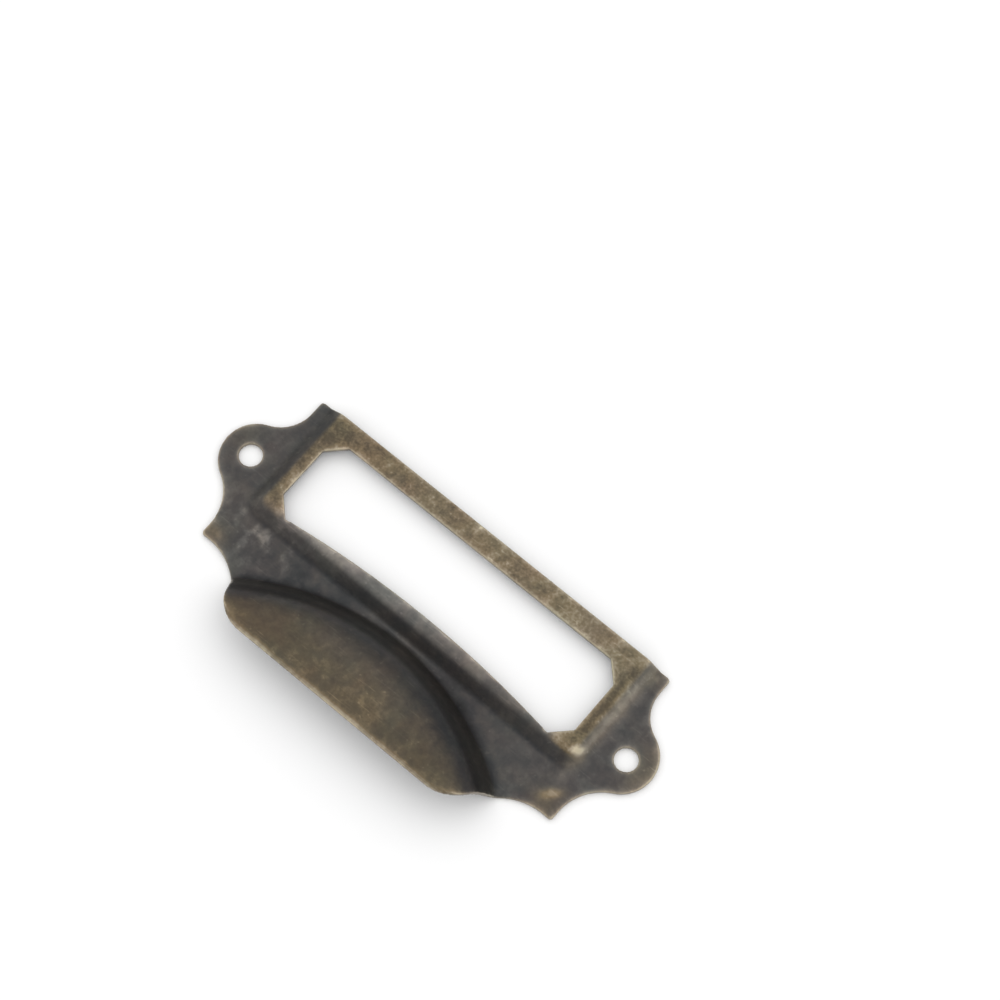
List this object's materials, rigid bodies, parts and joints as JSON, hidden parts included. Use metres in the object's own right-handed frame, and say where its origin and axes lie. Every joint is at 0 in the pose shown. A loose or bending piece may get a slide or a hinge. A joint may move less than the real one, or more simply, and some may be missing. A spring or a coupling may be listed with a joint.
{
  "type": "label frame pull",
  "caption": "Pressed sheet-metal drawer pull with a raised label frame round a clipped-corner window, a curved finger hood below it and a screw ear at each end.",
  "frame": {"origin": "midway between the screw holes, on the back face that lies against the drawer front", "axes": "+X along the screw holes, +Y towards the open top edge of the label frame, +Z out of the drawer front"},
  "size_m": [0.079, 0.0348, 0.0078],
  "materials": {
    "antique_brass": "antique brass: dark patina, rubbed back to brown brass on the raised frame, the hood and the edges"
  },
  "bodies": {
    "root": {"label_frame_pull": "antique_brass"}
  },
  "joints": []
}
